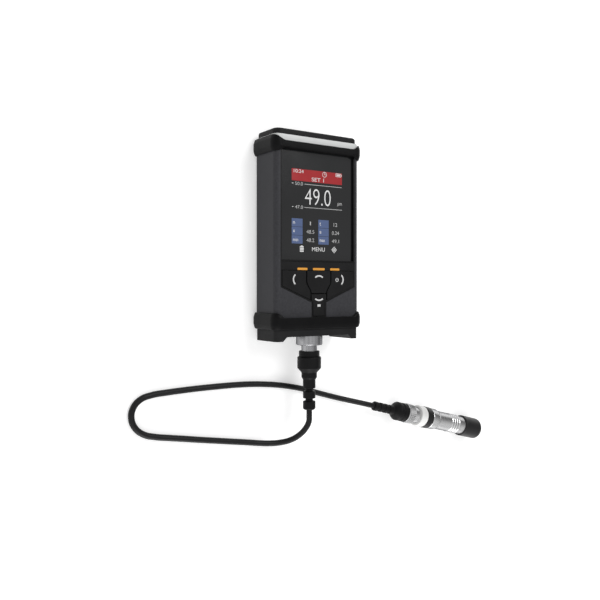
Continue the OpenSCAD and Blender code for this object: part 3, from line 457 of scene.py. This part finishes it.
EDGE_MM = {
    0.5: ["top_bumper", "bottom_bumper"],
    0.35: ["top_cap", "bottom_cap", "plug_grip", "plug_ring", "probe_boot", "battery_cover"],
    0.25: ["light_band", "key_left", "key_up", "key_right", "key_down", "socket_flange",
           "probe_sleeve", "probe_barrel"],
    0.15: ["keypad_frame", "window_glass", "marker_ring", "grip_ring", "probe_nose", "sensor_ring"],
}
for radius, names in EDGE_MM.items():
    for name in names:
        rounded_copy(name, radius)

# %% [markdown]
# The plug and the probe's boot belong to the cord, whose route runs from the one to the other.

# %% [markdown]
# ## The spring behind the sensor
# Inside the probe's nose a coil spring presses the sensor out, and it gets shorter when the sensor is
# pushed in. A CAD body is rigid; here the spring is a copy of its node, smoothed by one level of
# subdivision.

# %% Spring
spring = merged_copy("plunger_spring", "_coil")
smooth = spring.modifiers.new("round wire", "SUBSURF")
smooth.levels = smooth.render_levels = 1
bpy.ops.object.modifier_apply(modifier=smooth.name)
bpy.ops.object.shade_smooth()
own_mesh(spring)
print(spring.name, "faces:", len(spring.data.polygons))

# %% [markdown]
# ## The display's picture
# The display shows a red heading, a large reading between two limit lines, a table of figures and
# three small signs over the keys. Each is a thin flat piece on the window: plates start as a cube
# that gets rounded corners, and figures start as text that is turned into a mesh. Places and sizes
# on the front are in millimetres, from the gauge's middle.

# %% Plates and figures
PRINT_T = 0.04 * MM
window_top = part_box("window_glass")[1].z


def finish_piece(piece, name, material, body):
    piece.name = piece.data.name = name
    piece.data.materials.clear()
    piece.data.materials.append(material)
    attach(piece, body)
    print(name, "faces:", len(piece.data.polygons))


def apply_place():
    bpy.ops.object.transform_apply(location=True, rotation=True, scale=True)


def round_corners(plate, radius):
    bpy.ops.object.mode_set(mode="EDIT")
    bpy.ops.mesh.select_mode(type="EDGE")
    bpy.ops.mesh.select_all(action="DESELECT")
    bpy.ops.object.mode_set(mode="OBJECT")
    points = plate.data.vertices
    for edge in plate.data.edges:
        a, b = (points[i].co for i in edge.vertices)
        edge.select = abs(a.z - b.z) > PRINT_T / 2
    bpy.ops.object.mode_set(mode="EDIT")
    bpy.ops.mesh.bevel(offset=radius, segments=3, affect="EDGES")
    bpy.ops.object.mode_set(mode="OBJECT")


def flat_plate(low, high, base, round_mm=0.15):
    bpy.ops.object.select_all(action="DESELECT")
    bpy.ops.mesh.primitive_cube_add(size=1)
    plate = bpy.context.object
    plate.scale = ((high[0] - low[0]) * MM, (high[1] - low[1]) * MM, PRINT_T)
    plate.location = ((low[0] + high[0]) / 2 * MM, (low[1] + high[1]) / 2 * MM, base + PRINT_T / 2)
    apply_place()
    round_corners(plate, round_mm * MM)
    return plate


def figure(words, size, middle, base, thin=0):
    bpy.ops.object.select_all(action="DESELECT")
    bpy.ops.object.text_add()
    piece = bpy.context.object
    piece.data.body = words
    piece.data.extrude = PRINT_T / 2
    piece.data.offset = -thin
    bpy.ops.object.convert(target="MESH")
    bpy.ops.object.origin_set(type="ORIGIN_GEOMETRY", center="BOUNDS")
    piece = bpy.context.object
    piece.scale = (size[0] * MM / piece.dimensions.x, size[1] * MM / piece.dimensions.y, 1)
    piece.location = (middle[0] * MM, middle[1] * MM, base + PRINT_T / 2)
    apply_place()
    return piece


def joined(pieces):
    bpy.ops.object.select_all(action="DESELECT")
    for piece in pieces:
        piece.select_set(True)
    bpy.context.view_layer.objects.active = pieces[0]
    bpy.ops.object.join()
    return bpy.context.object


# %% [markdown]
# Round icons and the keys' signs are strokes of even width. A curved stroke starts as a plane that is
# drawn together to one edge, and the Spin tool sweeps that edge round a centre. Spin goes clockwise
# here, so a stroke is then turned to begin at its far end. A Solidify modifier gives it thickness.

# %% Curved strokes
WELD_M = 1e-7


def arc_stroke(centre, radius, width, start_deg, sweep_deg, base, steps=16):
    bpy.ops.object.select_all(action="DESELECT")
    bpy.ops.mesh.primitive_plane_add(size=width * MM, location=(radius * MM, 0, 0))
    apply_place()
    stroke = bpy.context.object
    bpy.ops.object.mode_set(mode="EDIT")
    bpy.ops.mesh.select_all(action="SELECT")
    bpy.ops.transform.resize(value=(1, 0, 1), center_override=(radius * MM, 0, 0))
    bpy.ops.mesh.remove_doubles(threshold=WELD_M)
    bpy.ops.mesh.select_all(action="SELECT")
    bpy.ops.mesh.spin(steps=steps, angle=math.radians(sweep_deg), center=(0, 0, 0), axis=(0, 0, 1))
    bpy.ops.mesh.select_all(action="SELECT")
    bpy.ops.mesh.remove_doubles(threshold=WELD_M)
    bpy.ops.object.mode_set(mode="OBJECT")
    stroke.rotation_euler.z = math.radians(start_deg + sweep_deg)
    stroke.location = (centre[0] * MM, centre[1] * MM, base)
    apply_place()
    thicken(stroke)
    return stroke


def thicken(stroke):
    solid = stroke.modifiers.new("thickness", "SOLIDIFY")
    solid.thickness = PRINT_T
    solid.offset = 0
    bpy.ops.object.modifier_apply(modifier=solid.name)
    bpy.ops.object.mode_set(mode="EDIT")
    bpy.ops.mesh.select_all(action="SELECT")
    bpy.ops.mesh.normals_make_consistent(inside=False)
    bpy.ops.object.mode_set(mode="OBJECT")
    stroke.data.transform(Matrix.Translation((0, 0, PRINT_T / 2)))


# %% [markdown]
# The lit colours get a little emission of their own colour, so that the picture reads as a screen and
# not as paint, and a smooth surface like the glass around them.

# %% Screen colours
def screen_finish(name, colour, glow):
    material = moulded_finish(name, colour, drift=0.1, tone=120, grain=900, rough=(0.12, 0.2), bump=0.01)
    shader = material.node_tree.nodes["Principled BSDF"]
    shader.inputs["Emission Color"].default_value = (*colour, 1)
    shader.inputs["Emission Strength"].default_value = glow
    return material


screen_red = screen_finish("screen_red", (0.265, 0.013, 0.016), 0.2)
screen_blue = screen_finish("screen_blue", (0.06, 0.088, 0.18), 0.2)
screen_white = screen_finish("screen_white", (0.55, 0.55, 0.55), 0.25)
screen_grey = screen_finish("screen_grey", (0.36, 0.36, 0.36), 0.15)
print("screen colours:", screen_red.name, screen_blue.name, screen_white.name, screen_grey.name)

# %% Heading, table and lines
SCREEN_LEFT = -23.75
SCREEN_RIGHT = 23.75
SCREEN_TOP = 49.8
HEADING_H = 9.1
heading = flat_plate((SCREEN_LEFT, SCREEN_TOP - HEADING_H), (SCREEN_RIGHT, SCREEN_TOP), window_top)
finish_piece(heading, "screen_heading", screen_red, "gauge")

TABLE_TOP = 12.0
ROW_H = 6.45
ROW_GAP = 0.25
ROWS = 3
LABEL_W = 9.9
COLUMNS = [SCREEN_LEFT, 0.9]
cells = []
for x in COLUMNS:
    for row in range(ROWS):
        top = TABLE_TOP - row * ROW_H
        cells.append(flat_plate((x, top - ROW_H + ROW_GAP), (x + LABEL_W, top), window_top))
finish_piece(joined(cells), "screen_labels", screen_blue, "gauge")

LINE_T = 0.42
LINE_LEFT = -12.2
LIMIT_ROWS = (38.6, 20.8)
lines = []
for y in LIMIT_ROWS:
    low = (LINE_LEFT, y - LINE_T / 2)
    high = (SCREEN_RIGHT, y + LINE_T / 2)
    lines.append(flat_plate(low, high, window_top, round_mm=0.1))
finish_piece(joined(lines), "screen_lines", screen_grey, "gauge")

# %% [markdown]
# A figure is given by its words, its width and height, and its middle. On the heading and on the blue
# labels the words lie one print higher, on top of the plate.

# %% Figures
above = window_top + PRINT_T
THIN_BY = 0.014
LIMIT_X = -17.1
LIMIT_SIZE = (7.2, 2.5)
FIGURE_H = 2.8
VALUE_X = (-6.6, 17.4)
VALUES = [[("1", 1), ("48.5", 7.2), ("48.2", 7.2)], [("12", 3.6), ("0.24", 7), ("49.1", 7)]]
LABELS = [[("n", 1.7), ("x", 1.7), ("min", 4.6)], [("t", 1.2), ("s", 1.6), ("max", 5)]]
LABEL_INSET = 1.2
TALL = 2.4
SHORT = 1.8


def row_middle(row):
    return TABLE_TOP - (row + 0.5) * ROW_H


reading = figure("49.0", (24.4, 12.4), (0.5, 29.3), window_top, THIN_BY)
finish_piece(reading, "screen_reading", screen_white, "gauge")

small = [figure(words, LIMIT_SIZE, (LIMIT_X, y), window_top)
         for words, y in zip(("50.0", "47.0"), LIMIT_ROWS)]
small.append(figure("µm", (4.2, FIGURE_H), (21.5, 25.0), window_top))
for x, column in zip(VALUE_X, VALUES):
    for row, (words, width) in enumerate(column):
        small.append(figure(words, (width, FIGURE_H), (x, row_middle(row)), window_top))
finish_piece(joined(small), "screen_figures", screen_grey, "gauge")

labels = [figure("MENU", (12, 3.1), (1, -11), window_top),
          figure("10:24", (9, 2.6), (-17.4, 48.1), above),
          figure("SET 1", (11.5, 2.9), (0.4, 42.8), above)]
for x, column in zip(COLUMNS, LABELS):
    for row, (letters, width) in enumerate(column):
        height = TALL if letters in ("t", "min") else SHORT
        middle = (x + LABEL_INSET + width / 2, row_middle(row))
        labels.append(figure(letters, (width, height), middle, above))
finish_piece(joined(labels), "screen_words", screen_white, "gauge")

# %% [markdown]
# The icons are a clock and a battery on the heading, a page and a target on both sides of the menu's
# word, and a short mark in front of each limit. They are put together from round strokes and from
# bars, each given by how far its middle is from the icon's middle, and by its width and height.

# %% Icons
THIN = 0.35
TICK = 0.5
ROUND_STEPS = 24


def bars_at(centre, rows, base):
    bars = []
    for (dx, dy), (width, height) in rows:
        x = centre[0] + dx
        y = centre[1] + dy
        low = (x - width / 2, y - height / 2)
        high = (x + width / 2, y + height / 2)
        bars.append(flat_plate(low, high, base, round_mm=0.08))
    return bars


def ring_at(centre, radius, width, base):
    return arc_stroke(centre, radius, width, 0, 360, base, ROUND_STEPS)


CLOCK = (6.75, 47.4)
CLOCK_R = 1.9
clock_hands = [((0, 0.6), (THIN, 1.4)), ((0.5, 0), (1.2, THIN))]
icons = [ring_at(CLOCK, CLOCK_R, THIN, above)]
icons += bars_at(CLOCK, clock_hands, above)

BATTERY = (20.3, 48.1)
CASE_W = 5.2
CASE_H = 2.3
CELL_SHIFTS = (-1.3, 0, 1.3)
CELL_W = 0.9
POLE_W = 0.3
battery_bars = [((0, side * CASE_H / 2), (CASE_W, THIN)) for side in (-1, 1)]
battery_bars += [((side * CASE_W / 2, 0), (THIN, CASE_H)) for side in (-1, 1)]
battery_bars += [((shift, 0), (CELL_W, CASE_H - CELL_W)) for shift in CELL_SHIFTS]
battery_bars += [((CASE_W / 2 + POLE_W, 0), (POLE_W, CELL_W))]
icons += bars_at(BATTERY, battery_bars, above)

PAGE = (-14.6, -10.9)
PAGE_W = 3.5
CLIP_Y = 2.2
PAGE_ROWS = (1.45, 0.3, -0.85, -2)
PAGE_ROW_H = 0.8
page_bars = [((0, CLIP_Y), (PAGE_W / 2, TICK))]
page_bars += [((0, y), (PAGE_W, PAGE_ROW_H)) for y in PAGE_ROWS]
icons += bars_at(PAGE, page_bars, window_top)

TARGET = (16.1, -10.9)
TARGET_R = 1.7
CORE_R = 0.7
REACH = TARGET_R + 0.6
icons += [ring_at(TARGET, radius, TICK, window_top) for radius in (TARGET_R, CORE_R)]
compass = [(1, 0), (-1, 0), (0, 1), (0, -1)]
icons += bars_at(TARGET, [((REACH * x, REACH * y), (TICK, TICK)) for x, y in compass], window_top)

MARK = (-22.9, 0)
MARK_SIZE = (1.3, 0.45)
icons += bars_at(MARK, [((0, y), MARK_SIZE) for y in LIMIT_ROWS], window_top)
print("icon strokes:", len(icons))
finish_piece(joined(icons), "screen_icons", screen_white, "gauge")

# %% [markdown]
# ## Signs on the keys
# The signs are the same strokes of even width, in the keys' own print. Each rides on its key, so that
# it goes down with it. The three amber lamps lie on the strip over the keys.

# %% Signs
STROKE = 1.15
SIDE_R = 4.55
SIDE_SWEEP = 104
MIDDLE_R = 5.6
MIDDLE_SWEEP = 78
POWER = (17.3, -34.5)
POWER_R = 1.3
POWER_LINE = 0.5
POWER_SWEEP = 290
key_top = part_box("key_up")[1].z
sign_white = moulded_finish("sign_white", (0.55, 0.55, 0.55), drift=0.08, rough=(0.4, 0.5), bump=0.05)

power_start = 90 + (360 - POWER_SWEEP) / 2
power = [arc_stroke(POWER, POWER_R, POWER_LINE, power_start, POWER_SWEEP, key_top)]
power += bars_at(POWER, [((0, POWER_R * 0.6), (POWER_LINE, POWER_R * 1.2))], key_top)
down_mark = flat_plate((-1.5, -55.3), (1.5, -53.5), key_top, round_mm=0.3)
beside = {"right": power, "down": [down_mark]}

key_arcs = {
    "left": ((-19.05, -34.4), SIDE_R, 180, SIDE_SWEEP),
    "right": ((18.75, -34.4), SIDE_R, 0, SIDE_SWEEP),
    "up": ((0, -37.15), MIDDLE_R, 90, MIDDLE_SWEEP),
    "down": ((0, -44.8), MIDDLE_R, 270, MIDDLE_SWEEP),
}
for side, (centre, radius, middle_deg, sweep) in key_arcs.items():
    sign = arc_stroke(centre, radius, STROKE, middle_deg - sweep / 2, sweep, key_top)
    if side in beside:
        sign = joined([sign, *beside[side]])
    finish_piece(sign, "sign_" + side, sign_white, side + "_key")

# %% Strip lamps
LAMP_SPANS = [(-19.75, -10.65), (-5.5, 5.5), (10.9, 19.8)]
LAMP_Y = -26.35
LAMP_H = 1.7
strip_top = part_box("keypad_frame")[1].z
amber_lamp = moulded_finish("amber_lamp", (0.65, 0.285, 0.03), drift=0.12, rough=(0.3, 0.4), bump=0.05)
strip = [flat_plate((a, LAMP_Y - LAMP_H / 2), (b, LAMP_Y + LAMP_H / 2), strip_top, round_mm=0.5)
         for a, b in LAMP_SPANS]
finish_piece(joined(strip), "strip_lamps", amber_lamp, "gauge")

# %% [markdown]
# ## Studio
# The floor is a wide pale plane. Seen by the camera it is lifted towards white by a share of emission,
# a small one near the gauge, so that it keeps the shadows, and more far off, where the lamps don't
# reach. Two large soft lamps and a pale world light the gauge at a plain level.

# %% Floor
FLOOR_SIZE = 40
FLOOR_TONE = (0.75, 0.75, 0.75, 1)
FLOOR_ROUGH = 0.9
WHITE = (1, 1, 1, 1)
NEAR = 0.8
FAR = 5
NEAR_GLOW = 0.42
FAR_GLOW = 0.95


def seen_rays(tree):
    paths = add_node(tree, "ShaderNodeLightPath").outputs
    seen = math_of(tree, "MAXIMUM", paths["Is Camera Ray"], paths["Is Glossy Ray"])
    return math_of(tree, "MAXIMUM", seen, paths["Is Transmission Ray"])


bpy.ops.object.select_all(action="DESELECT")
bpy.ops.mesh.primitive_plane_add(size=FLOOR_SIZE, location=(0, 0, 0))
floor = bpy.context.object
floor.name = "floor"
floor_paint, tree, shader = new_material("floor_paint")
shader.inputs["Base Color"].default_value = FLOOR_TONE
shader.inputs["Roughness"].default_value = FLOOR_ROUGH
shader.inputs["Specular IOR Level"].default_value = 0
shader.inputs["Emission Color"].default_value = WHITE
distance = add_node(tree, "ShaderNodeVectorMath", operation="LENGTH")
tree.links.new(add_node(tree, "ShaderNodeTexCoord").outputs["Object"], distance.inputs[0])
glow = spread_of(tree, distance.outputs["Value"], NEAR, FAR, NEAR_GLOW, FAR_GLOW)
shown_glow = math_of(tree, "MULTIPLY", seen_rays(tree), glow)
tree.links.new(shown_glow, shader.inputs["Emission Strength"])
floor.data.materials.append(floor_paint)
print("floor:", FLOOR_SIZE, "m wide")

# %% Lamps
LAMPS = {
    "key_lamp": dict(place=(0.5, 0.9, 1.3), aim=(0, 0, 0), size=1.0, power=16),
    "bounce_lamp": dict(place=(-0.15, -1.1, 0.3), aim=(0, -0.05, 0.02), size=0.8, power=9),
}


def soft_lamp(name, place, aim, size, power):
    bpy.ops.object.light_add(type="AREA", location=place)
    lamp = bpy.context.object
    lamp.name = name
    lamp.data.size = size
    lamp.data.energy = power
    lamp.rotation_euler = (Vector(aim) - Vector(place)).to_track_quat("-Z", "Y").to_euler()


for name, values in LAMPS.items():
    soft_lamp(name, **values)
    print(name, values["power"], "W")

# %% [markdown]
# Bright metal looks like what it mirrors, so an even world would leave it flat and pale. This world is
# brighter on one side than on the other: the direction is compared with the bright side's direction
# and the result is spread between a low and a high strength. A slow wave across it stands for a row
# of soft boxes, which draws bands along the round metal pieces. Low down, where the floor ends, a pale
# rim carries the floor's white on for what the camera and the gloss see, and gives no light.

# %% World
BRIGHT_SIDE = Vector((-0.4, -0.6, 0.65)).normalized()
DARK_AT = -0.2
BRIGHT_AT = 0.9
DARK = 0.12
BRIGHT = 0.95
BOX_ROW = 13
BOX_LOW = 0.6
BOX_HIGH = 1.25
RIM_FROM = 0.15
RIM_END = 0.3

world = bpy.data.worlds.new("studio")
world.use_nodes = True
tree = world.node_tree
background = tree.nodes["Background"]
background.inputs["Color"].default_value = WHITE
direction = add_node(tree, "ShaderNodeTexCoord").outputs["Generated"]
towards = add_node(tree, "ShaderNodeVectorMath", operation="DOT_PRODUCT")
towards.inputs[1].default_value = BRIGHT_SIDE
tree.links.new(direction, towards.inputs[0])
side_light = spread_of(tree, towards.outputs["Value"], DARK_AT, BRIGHT_AT, DARK, BRIGHT)
across = add_node(tree, "ShaderNodeSeparateXYZ")
tree.links.new(direction, across.inputs["Vector"])
wave = math_of(tree, "SINE", math_of(tree, "MULTIPLY", across.outputs["X"], BOX_ROW), 0)
boxes = spread_of(tree, wave, -1, 1, BOX_LOW, BOX_HIGH)
low_band = spread_of(tree, across.outputs["Z"], RIM_FROM, RIM_END, 1, 0)
rim = math_of(tree, "MULTIPLY", seen_rays(tree), low_band)
strength = math_of(tree, "MAXIMUM", math_of(tree, "MULTIPLY", side_light, boxes), rim)
tree.links.new(strength, background.inputs["Strength"])
bpy.context.scene.world = world
bpy.context.scene.view_settings.view_transform = "Standard"
print("world", world.name, "with", len(tree.nodes), "nodes")

# %% [markdown]
# ## Last update
# Dressing the gauge must not make it grow. The view layer is updated once more at the end.

# %% Last update
bpy.context.view_layer.update()
